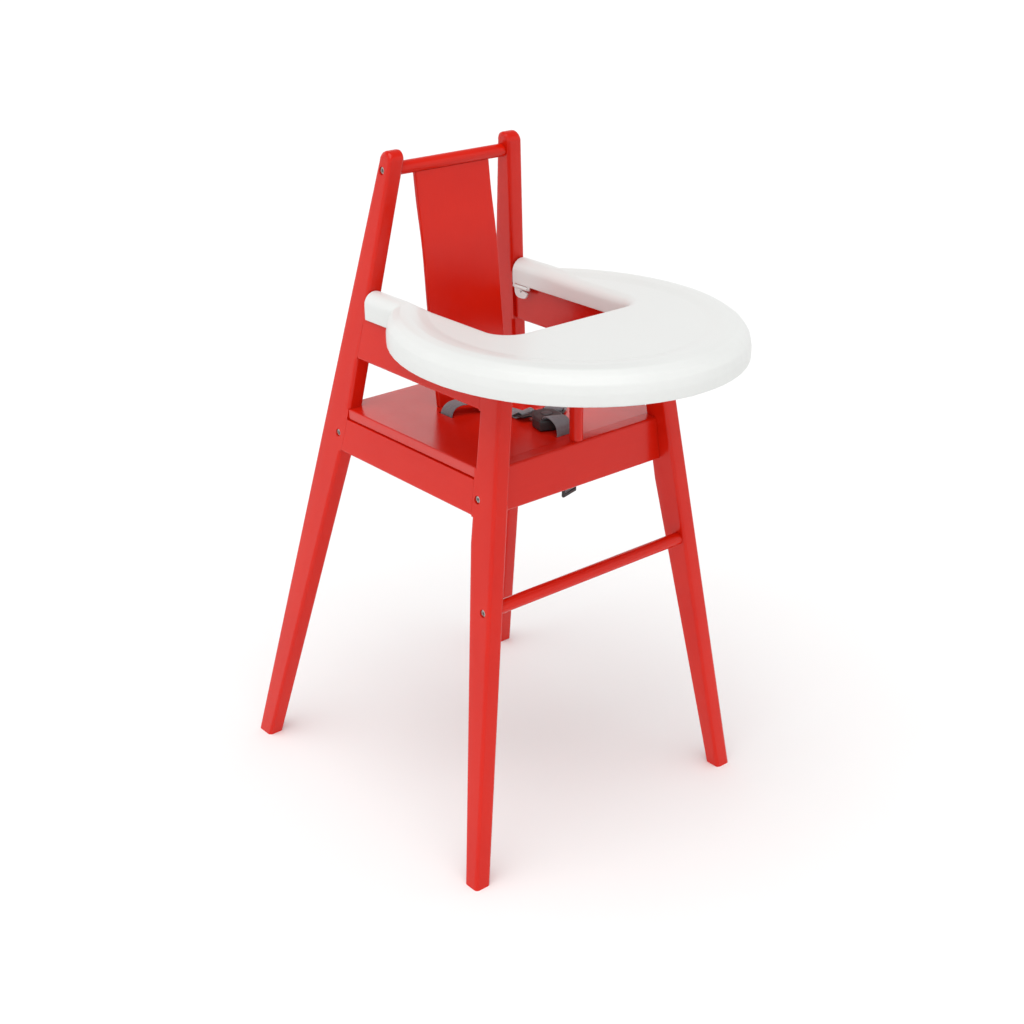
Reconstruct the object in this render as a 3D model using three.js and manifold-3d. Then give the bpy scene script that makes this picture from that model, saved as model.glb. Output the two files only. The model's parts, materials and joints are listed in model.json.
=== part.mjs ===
// Wooden high chair for a small child, with a lift-off plastic tray and a three-point harness.
// Millimetres, +Z up, the child faces -Y. "right" and "left" are the seated child's, so right is -X.
// Two flat side frames lean in towards each other. Round rails, aprons and a seat board join them.

import * as THREE from 'three';
import { mergeVertices } from 'three/addons/utils/BufferGeometryUtils.js';
import Module from 'manifold-3d';

const wasm = await Module();
wasm.setup();

// ---- Driving dimensions ------------------------------------------------------------------------

const TOTAL_HEIGHT = 910;
const JOINT_GAP = 0.3;             // air left between glued or bolted faces

// Side frames: each is a flat board plane that leans in as it rises.
const FOOT_HALF_SPAN = 242.4;      // outer face of a foot, measured from the middle plane
const SPLAY = 0.1462;              // millimetres inward for each millimetre up
const LEG_THICKNESS = 24.5;
const RAIL_THICKNESS = 20;
const LEG_ROUNDING = 5;
const SQUARE_EDGE = 12;            // reach of the unrounded stretches of edge where side boards join
const RAIL_ROUNDING = 4;

// Legs, as side-view lines: y = foot + slope * z. y is zero half way between front and rear feet.
const FOOT_HALF_DEPTH = 271.8;
const FRONT_LEG_FACE_SLOPE = 0.0882;
const FRONT_LEG_BACK_Y = -246;
const FRONT_LEG_BACK_SLOPE = 0.1319;
const FRONT_KNEE_HEIGHT = 460;
const FRONT_LEG_UPPER_SLOPE = 0.0424;
const FRONT_LEG_TOP = 712;
const REAR_LEG_BACK_SLOPE = -0.2226;
const REAR_LEG_FRONT_Y = 240.7;
const REAR_LEG_FRONT_SLOPE = -0.2659;
const REAR_KNEE_HEIGHT = 517.6;
const REAR_LEG_UPPER_SLOPE = -0.1484;
const DOME_RADIUS = 12.7;

// Rails, seat and back.
const SEAT_TOP = 558;
const SEAT_THICKNESS = 15;
const SEAT_REAR_Y = 119;
const SEAT_HALF_WIDTH = 160.5;
const SEAT_ROUNDING = 2;
const APRON_BOTTOM = 495;
const FRONT_APRON_FACE_Y = -202;
const REAR_APRON_Y = 118;
const ARM_BOTTOM = 631;
const ARM_TOP = FRONT_LEG_TOP;
const BAR_RADIUS = 9;
const FOOTREST = { y: -225, z: 378 };
const TOP_RAIL = { y: 63.2, z: 884.5 };
const CROSSBAR = { y: -190, z: 672 };
const POST_Y = FRONT_APRON_FACE_Y + RAIL_THICKNESS / 2;
const SPLAT_WIDTH = 124;
const SPLAT_THICKNESS = 8;
const SPLAT_LINE = [[24, 558], [33, 630], [40.5, 700], [47, 775], [57, 835], [63.2, 885]];
const SPLAT_ROUNDING = 2;

// Fasteners.
const BOLT = { shank: 3, head: 4.8, headHeight: 4, length: 58, socket: 2.5, socketDepth: 2.6 };
const BOLT_HOLE_RADIUS = 3.4;
const COUNTERBORE_RADIUS = 5.4;
const HEAD_SINK = 0.8;             // the head's face lies this far below the leg's face
const NUT = { radius: 5, length: 12, inset: 30 };
const NUT_HOLE_RADIUS = 5.4;
const SCREW = { shank: 2, head: 4, headHeight: 2.6 };
const SCREW_HOLE_RADIUS = 2.4;
const SEAT_SCREW_DEPTH = 25;       // counterbore up into a side apron
const SEAT_SCREW_X = 154.5;
const SEAT_SCREW_Y = [-120, 50];
const SPLAT_SCREW_X = 38;

// Tray: an egg-shaped dish with a rounded rim, open to the child, with two channels over the arms.
const TRAY = {
  halfWidth: 221, middleY: -175, frontReach: 242, rearReach: 254,
  bottom: 683, floor: 722, crest: 726, rimRounding: 28, rimWidth: 52,
  wall: 3, bodyEndY: 7, armEndY: 71, armRiseY: -60,
  armInner: 111.4, armOuter: 145.4, armBottom: 688, armTop: 726, armWall: 2.2,
  cutFrontY: -183, cutRounding: 28, mouthRounding: 15, cutWallBottom: 691.5,
};
const TRAY_RIB_Y = [45, -30, -100, -180];
const TRAY_RIB_THICKNESS = 3;

// Tray latches: tabs on pins at the rear end of each channel's inner wall.
const LATCH = { x: 112.5, z: 688.2, rearY: 65, width: 27, knuckle: 2.7, bottom: 673, thickness: 3.2 };
const PIN_RADIUS = 1;
const PIN_BORE = 1.3;
const EAR = { radius: 2.6, length: 4 };

// Harness.
const WEBBING_WIDTH = 25;
const WEBBING_THICKNESS = 1.4;
const SLOT = { length: 30, width: 5 };
const LAP_SLOT = { x: 72, y: -8 };
const CROTCH_SLOT_Y = -168;
const STRAP_TAIL_Z = 470;
const CROTCH_TAIL = { x: 9.5, turn: 15 };   // its tail hangs askew
const BUCKLE = {
  x: 6, y: -126, yaw: -24, bottom: 558.6, top: 574.6, tongueZ: 565.6, tongueAngle: 32,
  halfWidth: 21, rear: 20, front: 26, frontHalfWidth: 17,
};
const TONGUE = { blade: 12, tip: 10, shoulder: 24, loop: 40, loopWidth: 32, thickness: 2.8 };
const BUTTON = { radius: 8, bottom: 571.2, top: 575.8 };
const SLIDER = { width: 30, height: 24, thickness: 5 };

const MATERIALS = {
  paint: { color: 0xcf2f2a, roughness: 0.42, metalness: 0 },
  tray: { color: 0xf1f2ee, roughness: 0.38, metalness: 0 },
  steel: { color: 0x9a9b98, roughness: 0.35, metalness: 1 },
  webbing: { color: 0x6e7076, roughness: 0.9, metalness: 0 },
  buckle: { color: 0x1b1b1d, roughness: 0.45, metalness: 0 },
};

// ---- Geometry helpers ----------------------------------------------------------------------------

const chair = new THREE.Group();
const UP = new THREE.Vector3(0, 0, 1);
const ACROSS = new THREE.Vector3(1, 0, 0);
const ALONG = new THREE.Vector3(0, 1, 0);
const SIDES = [['right', -1], ['left', 1]];

function add(name, shape, material, group = chair) {
  const geometry = shape.isBufferGeometry ? shape : toGeometry(shape);
  const mesh = new THREE.Mesh(geometry, new THREE.MeshStandardMaterial(MATERIALS[material]));
  mesh.name = name;
  group.add(mesh);
  return mesh;
}

function toSolid(geometry) {
  const bare = geometry.clone();
  bare.deleteAttribute('normal');
  bare.deleteAttribute('uv');
  const merged = mergeVertices(bare, 1e-4);
  return new wasm.Manifold(new wasm.Mesh({
    numProp: 3,
    vertProperties: new Float32Array(merged.attributes.position.array),
    triVerts: new Uint32Array(merged.index.array),
  }));
}

function toGeometry(solid) {
  const mesh = solid.getMesh();
  const geometry = new THREE.BufferGeometry();
  geometry.setAttribute('position', new THREE.BufferAttribute(new Float32Array(mesh.vertProperties), 3));
  geometry.setIndex(new THREE.BufferAttribute(new Uint32Array(mesh.triVerts), 1));
  geometry.computeVertexNormals();
  return geometry;
}

function polygon(points) {
  return new THREE.Shape(points.map(([a, b]) => new THREE.Vector2(a, b)));
}

// A shape extruded to a total depth, centred on its plane, with its edges rounded inside the outline.
function extrude(shape, depth, rounding = 0, roundSteps = 3, curveSegments = 10) {
  const geometry = new THREE.ExtrudeGeometry(shape, {
    depth: depth - 2 * rounding,
    curveSegments,
    bevelEnabled: rounding > 0,
    bevelSize: rounding,
    bevelThickness: rounding,
    bevelOffset: -rounding,
    bevelSegments: roundSteps,
  });
  return geometry.translate(0, 0, rounding - depth / 2);
}

// Turns a shape drawn in (y, z) and extruded along its normal to stand in the side view.
function sideView(geometry) {
  return geometry.applyMatrix4(new THREE.Matrix4().makeBasis(ALONG, UP, ACROSS));
}

// Turns a shape drawn in (x, z) to stand in the front view.
function frontView(geometry) {
  return geometry.rotateX(Math.PI / 2);
}

// Leans a board in with the side frame. Its outer face passes outerX at the floor.
function lean(geometry, side, outerX, thickness) {
  geometry.translate(side * (outerX - thickness / 2), 0, 0);
  return geometry.applyMatrix4(new THREE.Matrix4().makeShear(0, 0, 0, 0, -side * SPLAY, 0));
}

function box(x0, x1, y0, y1, z0, z1) {
  const geometry = new THREE.BoxGeometry(x1 - x0, y1 - y0, z1 - z0);
  return geometry.translate((x0 + x1) / 2, (y0 + y1) / 2, (z0 + z1) / 2);
}

function rod(radius, length, axis, segments = 24) {
  const geometry = new THREE.CylinderGeometry(radius, radius, length, segments);
  if (axis === 'x') return geometry.rotateZ(-Math.PI / 2);
  if (axis === 'z') return geometry.rotateX(Math.PI / 2);
  return geometry;
}

function bar(radius, length, y, z) {
  return toSolid(rod(radius, length, 'x', 32).translate(0, y, z));
}

// ---- Legs ----------------------------------------------------------------------------------------

const frontLegFace = (z) => -FOOT_HALF_DEPTH + FRONT_LEG_FACE_SLOPE * z;
const frontLegBack = (z) => FRONT_LEG_BACK_Y + FRONT_LEG_BACK_SLOPE * Math.min(z, FRONT_KNEE_HEIGHT)
  + FRONT_LEG_UPPER_SLOPE * Math.max(z - FRONT_KNEE_HEIGHT, 0);
const rearLegBack = (z) => FOOT_HALF_DEPTH + REAR_LEG_BACK_SLOPE * z;
const rearLegFront = (z) => REAR_LEG_FRONT_Y + REAR_LEG_FRONT_SLOPE * Math.min(z, REAR_KNEE_HEIGHT)
  + REAR_LEG_UPPER_SLOPE * Math.max(z - REAR_KNEE_HEIGHT, 0);
const outerFaceX = (z) => FOOT_HALF_SPAN - SPLAY * z;
const innerFaceX = (z) => outerFaceX(z) - LEG_THICKNESS;

// The outlines run below the floor by "under", so that the feet can be sawn off level.
function frontLegOutline(under, grow) {
  const top = FRONT_LEG_TOP + grow;
  return polygon([
    [frontLegFace(-under) - grow, -under],
    [frontLegBack(-under) + grow, -under],
    [frontLegBack(FRONT_KNEE_HEIGHT) + grow, FRONT_KNEE_HEIGHT],
    [frontLegBack(top) + grow, top],
    [frontLegFace(top) - grow, top],
  ]);
}

function rearLegOutline(under, grow) {
  const domeZ = TOTAL_HEIGHT - DOME_RADIUS;
  const domeY = (rearLegFront(domeZ) + rearLegBack(domeZ)) / 2;
  const shape = new THREE.Shape();
  shape.moveTo(rearLegFront(-under) - grow, -under);
  shape.lineTo(rearLegBack(-under) + grow, -under);
  shape.absarc(domeY, domeZ, DOME_RADIUS + grow, 0, Math.PI, false);
  shape.lineTo(rearLegFront(REAR_KNEE_HEIGHT) - grow, REAR_KNEE_HEIGHT);
  return shape;
}

// A leg with rounded edges, left square where its joint line meets the boards between the legs.
function leg(outline, jointLine, side) {
  const under = LEG_ROUNDING + 2;
  const [rounded, square] = [LEG_ROUNDING, 0].map((rounding) => {
    const board = sideView(extrude(outline(under, 0), LEG_THICKNESS, rounding));
    return toSolid(lean(board, side, FOOT_HALF_SPAN, LEG_THICKNESS));
  });
  const joints = [[APRON_BOTTOM, SEAT_TOP], [ARM_BOTTOM, ARM_TOP - LEG_ROUNDING]].map(([bottom, top]) => {
    const y = jointLine((bottom + top) / 2);
    return toSolid(box(-400, 400, y - SQUARE_EDGE, y + SQUARE_EDGE, bottom, top)).intersect(square);
  });
  const floorCut = toSolid(box(-400, 400, -400, 400, -100, 0));
  return joints.reduce((solid, joint) => solid.add(joint), rounded).subtract(floorCut);
}

// Square-edged copies of the legs, grown by the joint gap, that trim whatever is fitted between them.
const legBlocks = SIDES.flatMap(([, side]) => [frontLegOutline, rearLegOutline].map((outline) => {
  const thickness = LEG_THICKNESS + 2 * JOINT_GAP;
  const block = sideView(extrude(outline(5, JOINT_GAP), thickness));
  return toSolid(lean(block, side, FOOT_HALF_SPAN + JOINT_GAP, thickness));
}));

const trimToLegs = (solid) => legBlocks.reduce((rest, block) => rest.subtract(block), solid);

// The room between the side frames, a gap short of their inner faces.
function betweenFrames() {
  const reach = (z) => innerFaceX(z) - JOINT_GAP;
  const outline = polygon([[-reach(0), 0], [reach(0), 0], [reach(1000), 1000], [-reach(1000), 1000]]);
  return toSolid(frontView(extrude(outline, 1000)));
}

const room = betweenFrames();

const legs = {};
for (const [name, side] of SIDES) {
  legs[`front_leg_${name}`] = leg(frontLegOutline, frontLegBack, side);
  legs[`rear_leg_${name}`] = leg(rearLegOutline, rearLegFront, side);
}

// ---- Bolted rails --------------------------------------------------------------------------------

// Where the bolts go: the leg and rail that they join, and the height and depth of their axis.
const FRONT_APRON_REAR_Y = FRONT_APRON_FACE_Y + RAIL_THICKNESS;
const bars = {
  top_rail: bar(BAR_RADIUS, 200, TOP_RAIL.y, TOP_RAIL.z).intersect(room),
  front_crossbar: bar(BAR_RADIUS, 260, CROSSBAR.y, CROSSBAR.z).intersect(room),
  footrest_rail: bar(BAR_RADIUS, 400, FOOTREST.y, FOOTREST.z).intersect(room),
  front_apron: crossBoard(FRONT_APRON_FACE_Y, RAIL_THICKNESS + RAIL_ROUNDING, APRON_BOTTOM, SEAT_TOP)
    .trimByPlane([0, -1, 0], -FRONT_APRON_REAR_Y),
  rear_apron: crossBoard(REAR_APRON_Y - RAIL_THICKNESS / 2, RAIL_THICKNESS, APRON_BOTTOM,
    SEAT_TOP - SEAT_THICKNESS - JOINT_GAP),
};
const BOLTED = [
  { rail: 'top_rail', leg: 'rear_leg', y: TOP_RAIL.y, z: TOP_RAIL.z },
  { rail: 'rear_apron', leg: 'rear_leg', y: REAR_APRON_Y, z: 519 },
  { rail: 'front_apron', leg: 'front_leg', y: POST_Y, z: 519 },
  { rail: 'footrest_rail', leg: 'front_leg', y: FOOTREST.y, z: FOOTREST.z },
  { rail: 'front_crossbar', leg: 'front_leg', y: CROSSBAR.y, z: CROSSBAR.z },
];

function crossBoard(faceY, thickness, bottom, top) {
  const reach = innerFaceX(bottom) + RAIL_ROUNDING;
  const shape = polygon([[-reach, bottom], [reach, bottom], [reach, top], [-reach, top]]);
  const board = frontView(extrude(shape, thickness, RAIL_ROUNDING));
  return toSolid(board.translate(0, faceY + thickness / 2, 0)).intersect(room);
}

// Socket-head bolt along +X: its head's face is at x = 0 and its shank runs to -X.
function boltShape() {
  const { shank, head, headHeight, length, socket, socketDepth } = BOLT;
  const profile = [
    [0, 0], [head - 0.6, 0], [head, -0.6], [head, -headHeight],
    [shank, -headHeight], [shank, -length], [0, -length],
  ];
  const turned = new THREE.LatheGeometry(profile.map(([r, h]) => new THREE.Vector2(r, h)).reverse(), 12);
  const hex = rod(socket, 2 * socketDepth, 'y', 6);
  return toSolid(turned).subtract(toSolid(hex));
}

const boltGeometry = toGeometry(boltShape()).rotateZ(-Math.PI / 2);

function barrelNut() {
  const cross = rod(BOLT_HOLE_RADIUS, 4 * NUT.radius, 'x', 12);
  return toSolid(rod(NUT.radius, NUT.length, 'y', 14)).subtract(toSolid(cross));
}

for (const { rail, leg: legName, y, z } of BOLTED) {
  for (const [name, side] of SIDES) {
    const headX = outerFaceX(z) - HEAD_SINK - COUNTERBORE_RADIUS * SPLAY;
    const nutX = innerFaceX(z) - NUT.inset;
    const clearance = rod(BOLT_HOLE_RADIUS, 2 * BOLT.length, 'x', 12).translate(side * (headX - BOLT.length), y, z);
    const counterbore = rod(COUNTERBORE_RADIUS, 30, 'x', 16)
      .translate(side * (headX - BOLT.headHeight - JOINT_GAP + 15), y, z);
    const throughLeg = rod(BOLT_HOLE_RADIUS, 80, 'x', 12).translate(side * headX, y, z);
    const key = `${legName}_${name}`;
    legs[key] = legs[key].subtract(toSolid(counterbore)).subtract(toSolid(throughLeg));

    // The nut's hole is bored from the rail's back, and stops short of its front.
    const nutHole = rod(NUT_HOLE_RADIUS, NUT.length + 30, 'y', 14)
      .translate(side * nutX, y + 15 + JOINT_GAP - 0.5, z);
    bars[rail] = bars[rail].subtract(toSolid(clearance)).subtract(toSolid(nutHole));

    const bolt = add(`bolt_${rail}_${name}`, boltGeometry.clone(), 'steel');
    bolt.position.set(side * headX, y, z);
    bolt.rotation.z = side > 0 ? 0 : Math.PI;
    add(`barrel_nut_${rail}_${name}`, barrelNut(), 'steel').position.set(side * nutX, y, z);
  }
}

// ---- Seat, back and crotch post ------------------------------------------------------------------

const splatCurve = new THREE.SplineCurve(SPLAT_LINE.map(([y, z]) => new THREE.Vector2(y, z)));

function splatOutline() {
  const steps = 20;
  const front = [];
  const back = [];
  for (let i = 0; i <= steps; i += 1) {
    const point = splatCurve.getPoint(i / steps);
    const tangent = splatCurve.getTangent(i / steps);
    const normal = new THREE.Vector2(tangent.y, -tangent.x).multiplyScalar(SPLAT_THICKNESS / 2);
    back.push(point.clone().add(normal));
    front.unshift(point.clone().sub(normal));
  }
  return new THREE.Shape([...back, ...front]);
}

function backSplat() {
  const board = toSolid(sideView(extrude(splatOutline(), SPLAT_WIDTH, SPLAT_ROUNDING, 2)));
  const seatCut = toSolid(box(-100, 100, -50, 100, 500, SEAT_TOP + JOINT_GAP));
  return board.subtract(bar(BAR_RADIUS + JOINT_GAP, 200, TOP_RAIL.y, TOP_RAIL.z))
    .trimByPlane([0, 0, -1], -TOP_RAIL.z).subtract(seatCut);
}

function seatBoard() {
  const frontY = FRONT_APRON_REAR_Y + JOINT_GAP;
  const uncutY = frontY - SEAT_ROUNDING;
  const halfWidth = SEAT_HALF_WIDTH;
  const shape = polygon([[-halfWidth, uncutY], [halfWidth, uncutY], [halfWidth, SEAT_REAR_Y], [-halfWidth, SEAT_REAR_Y]]);
  const sheet = extrude(shape, SEAT_THICKNESS, SEAT_ROUNDING).translate(0, 0, SEAT_TOP - SEAT_THICKNESS / 2);
  const board = toSolid(sheet).trimByPlane([0, 1, 0], frontY);
  const crotchSlot = box(-SLOT.length / 2, SLOT.length / 2, CROTCH_SLOT_Y - SLOT.width / 2,
    CROTCH_SLOT_Y + SLOT.width / 2, 500, 600);
  return SIDES.reduce((seat, [, side]) => {
    const x = side * LAP_SLOT.x;
    const slot = box(x - SLOT.width / 2, x + SLOT.width / 2, LAP_SLOT.y - SLOT.length / 2,
      LAP_SLOT.y + SLOT.length / 2, 500, 600);
    return seat.subtract(toSolid(slot));
  }, trimToLegs(board).subtract(toSolid(crotchSlot)));
}

function crotchPost() {
  const bottom = SEAT_TOP + JOINT_GAP;
  const length = CROSSBAR.z - bottom;
  const post = toSolid(rod(BAR_RADIUS, length, 'z', 32).translate(0, POST_Y, bottom + length / 2));
  return post.subtract(bar(BAR_RADIUS + JOINT_GAP, 80, CROSSBAR.y, CROSSBAR.z));
}

// Board that fills the side frame between the front and the rear leg.
function sideBoard(side, bottom, top, squareTop = false) {
  const overlap = 10;
  const uncutTop = squareTop ? top + RAIL_ROUNDING : top;
  const shape = polygon([
    [frontLegBack(bottom) - overlap, bottom],
    [rearLegFront(bottom) + overlap, bottom],
    [rearLegFront(uncutTop) + overlap, uncutTop],
    [frontLegBack(uncutTop) - overlap, uncutTop],
  ]);
  const board = sideView(extrude(shape, RAIL_THICKNESS, RAIL_ROUNDING));
  return trimToLegs(toSolid(lean(board, side, FOOT_HALF_SPAN, RAIL_THICKNESS)))
    .trimByPlane([0, 0, -1], -top);
}

// Wood screw standing upright: its countersunk head is at the bottom and its tip is "length" above.
function screwShape(length) {
  const { shank, head, headHeight } = SCREW;
  const profile = [[0, 0], [head, 0], [shank, headHeight], [shank, length - 4], [0, length]];
  const turned = new THREE.LatheGeometry(profile.map(([r, h]) => new THREE.Vector2(r, h)), 10);
  const slot = box(-0.6, 0.6, -1, 1, -3, 3);
  return toSolid(turned).subtract(toSolid(slot)).subtract(toSolid(slot.clone().rotateY(Math.PI / 2)));
}

function screwHole(x, y, bottom, top) {
  return toSolid(rod(SCREW_HOLE_RADIUS, top - bottom, 'z', 10).translate(x, y, (bottom + top) / 2));
}

let seat = seatBoard();
let splat = backSplat();
const seatBottom = SEAT_TOP - SEAT_THICKNESS;

for (const [name, side] of SIDES) {
  let apron = sideBoard(side, APRON_BOTTOM, seatBottom - JOINT_GAP, true);
  SEAT_SCREW_Y.forEach((y, index) => {
    const x = side * SEAT_SCREW_X;
    const headZ = APRON_BOTTOM + SEAT_SCREW_DEPTH;
    const hole = screwHole(x, y, headZ - 1, seatBottom + 12);
    const headHole = rod(SCREW.head + 0.6, 2 * SEAT_SCREW_DEPTH, 'z', 12).translate(x, y, APRON_BOTTOM);
    const cone = new THREE.CylinderGeometry(SCREW_HOLE_RADIUS, SCREW.head + 0.6, SCREW.headHeight, 12)
      .rotateX(Math.PI / 2).translate(x, y, headZ + SCREW.headHeight / 2);
    apron = apron.subtract(toSolid(headHole)).subtract(toSolid(cone)).subtract(hole);
    seat = seat.subtract(hole);
    const screw = add(`seat_screw_${name}_${index + 1}`, toGeometry(screwShape(33)).rotateX(Math.PI / 2), 'steel');
    screw.position.set(x, y, headZ);
  });
  add(`side_apron_${name}`, apron, 'paint');
  add(`arm_rail_${name}`, sideBoard(side, ARM_BOTTOM, ARM_TOP), 'paint');

  const splatScrewX = side * SPLAT_SCREW_X;
  const splatHole = screwHole(splatScrewX, SPLAT_LINE[0][0], 500, SEAT_TOP + 20);
  const splatCone = new THREE.CylinderGeometry(SCREW_HOLE_RADIUS, SCREW.head + 0.6, SCREW.headHeight, 12)
    .rotateX(Math.PI / 2).translate(splatScrewX, SPLAT_LINE[0][0], seatBottom + SCREW.headHeight / 2);
  seat = seat.subtract(splatHole).subtract(toSolid(splatCone));
  splat = splat.subtract(splatHole);
  add(`splat_screw_${name}`, toGeometry(screwShape(32)).rotateX(Math.PI / 2), 'steel')
    .position.set(splatScrewX, SPLAT_LINE[0][0], seatBottom);
}

Object.entries(legs).forEach(([name, solid]) => add(name, solid, 'paint'));
Object.entries(bars).forEach(([name, solid]) => add(name, solid, 'paint'));
add('seat_board', seat, 'paint');
add('back_splat', splat, 'paint');
add('crotch_post', crotchPost(), 'paint');

// ---- Tray ----------------------------------------------------------------------------------------

// A round dish turned about Z, then stretched to the egg's front and rear reach.
function dish(profile) {
  const points = profile.map(([r, z]) => new THREE.Vector2(r, z));
  const geometry = new THREE.LatheGeometry(points, 64).rotateX(Math.PI / 2);
  const position = geometry.attributes.position;
  for (let i = 0; i < position.count; i += 1) {
    const y = position.getY(i);
    const reach = y < 0 ? TRAY.frontReach : TRAY.rearReach;
    position.setY(i, TRAY.middleY + y * reach / TRAY.halfWidth);
  }
  return toSolid(geometry);
}

// Rim from the dish's floor over its crest and down the skirt, inset by "inset" all over.
function dishProfile(inset, bottom) {
  const { halfWidth, floor, crest, rimRounding, rimWidth } = TRAY;
  const radius = rimRounding - inset;
  const centreR = halfWidth - rimRounding;
  const centreZ = crest - rimRounding;
  const arc = [0, 22.5, 45, 67.5, 90].map((degrees) => {
    const angle = THREE.MathUtils.degToRad(degrees);
    return [centreR + radius * Math.cos(angle), centreZ + radius * Math.sin(angle)];
  });
  const middleR = halfWidth - (rimWidth + rimRounding) / 2;
  return [
    [0, bottom], [halfWidth - inset, bottom], ...arc,
    [middleR, (floor + crest) / 2 + 1 - inset], [halfWidth - rimWidth, floor - inset], [0, floor - inset],
  ];
}

// Slice of an arm's channel at y: upright walls under a half-round top.
function armSlice(side, inset, y, bottom, top) {
  const inner = TRAY.armInner + inset;
  const outer = TRAY.armOuter - inset;
  const radius = (outer - inner) / 2;
  const shape = new THREE.Shape();
  shape.moveTo(inner, bottom);
  shape.lineTo(outer, bottom);
  shape.absarc((inner + outer) / 2, top - inset - radius, radius, 0, Math.PI, false);
  return shape.getPoints(8).map((point) => [side * point.x, y, point.y]);
}

// An arm: it rises out of the dish's floor, then runs level to its rear end.
function arm(side, inset, endY, bottom) {
  const rise = armSlice(side, inset, TRAY.armRiseY, bottom, TRAY.floor);
  const start = armSlice(side, inset, TRAY.bodyEndY, bottom, TRAY.armTop);
  const end = armSlice(side, inset, endY, bottom, TRAY.armTop);
  return wasm.Manifold.hull([...rise, ...start]).add(wasm.Manifold.hull([...start, ...end]));
}

function cutoutShape(grow) {
  const x = TRAY.armInner + grow;
  const y = TRAY.cutFrontY - grow;
  const radius = TRAY.cutRounding + grow;
  const shape = new THREE.Shape();
  shape.moveTo(x, 200);
  shape.lineTo(-x, 200);
  shape.absarc(-x + radius, y + radius, radius, Math.PI, 1.5 * Math.PI, false);
  shape.absarc(x - radius, y + radius, radius, 1.5 * Math.PI, 2 * Math.PI, false);
  return shape;
}

function cutout(grow, bottom, top) {
  return toSolid(extrude(cutoutShape(grow), top - bottom, 0, 1, 8).translate(0, 0, (bottom + top) / 2));
}

// The cut-out with a flared mouth, so that the rim turns over into it. "inset" is measured from the
// tray's surface into the plastic.
function flaredCutout(inset) {
  const { floor, mouthRounding } = TRAY;
  const radius = mouthRounding - inset;
  const rings = [0, 15, 30, 45, 60, 75, 90].map((degrees) => {
    const angle = THREE.MathUtils.degToRad(degrees);
    const z = floor - mouthRounding + radius * Math.sin(angle);
    return cutoutShape(mouthRounding - radius * Math.cos(angle)).getPoints(8).map(({ x, y }) => [x, y, z]);
  });
  const layers = rings.slice(1).map((ring, i) => wasm.Manifold.hull([...rings[i], ...ring]));
  const throat = cutout(inset, 600, floor - mouthRounding);
  const above = cutout(mouthRounding, floor - inset, 800);
  return layers.reduce((solid, layer) => solid.add(layer), throat.add(above));
}

// Ears under the channel's inner wall that hold the latch's pin.
function latchEars(side) {
  const middles = [LATCH.rearY + 0.3 + EAR.length / 2, LATCH.rearY - LATCH.width - 0.3 - EAR.length / 2];
  return middles.map((y) => {
    const eye = toSolid(rod(EAR.radius, EAR.length, 'y', 14).translate(side * LATCH.x, y, LATCH.z));
    const stem = box(side * LATCH.x - TRAY.armWall / 2, side * LATCH.x + TRAY.armWall / 2,
      y - EAR.length / 2, y + EAR.length / 2, LATCH.z, TRAY.cutWallBottom + 2);
    return eye.add(toSolid(stem));
  });
}

function trayShell() {
  const behind = (y) => toSolid(box(-300, 300, y, 400, 600, 800));
  const arms = SIDES.map(([, side]) => arm(side, 0, TRAY.armEndY, TRAY.armBottom));
  const armHollows = SIDES.map(([, side]) => arm(side, TRAY.armWall, TRAY.armEndY + 5, TRAY.bottom - 20));
  const unite = (solid, other) => solid.add(other);
  const body = dish(dishProfile(0, TRAY.bottom)).subtract(behind(TRAY.bodyEndY)).subtract(flaredCutout(0));
  const bodyHollow = dish(dishProfile(TRAY.wall, TRAY.bottom - 20)).subtract(behind(TRAY.bodyEndY - TRAY.wall))
    .subtract(flaredCutout(TRAY.armWall));
  const filled = arms.reduce(unite, body);
  let shell = filled.subtract(armHollows.reduce(unite, bodyHollow))
    .subtract(cutout(TRAY.armWall + 0.4, 600, TRAY.cutWallBottom));
  for (const [, side] of SIDES) {
    const ribEnds = [side * (TRAY.armInner + TRAY.mouthRounding), side * (TRAY.armOuter - 1)];
    for (const y of TRAY_RIB_Y) {
      const rib = box(Math.min(...ribEnds), Math.max(...ribEnds), y - TRAY_RIB_THICKNESS / 2,
        y + TRAY_RIB_THICKNESS / 2, ARM_TOP + JOINT_GAP, TRAY.armTop);
      shell = shell.add(toSolid(rib).intersect(filled));
    }
    const pinBore = rod(PIN_BORE, 60, 'y', 12).translate(side * LATCH.x, LATCH.rearY - LATCH.width / 2, LATCH.z);
    shell = latchEars(side).reduce(unite, shell).subtract(toSolid(pinBore));
  }
  return shell;
}

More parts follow.
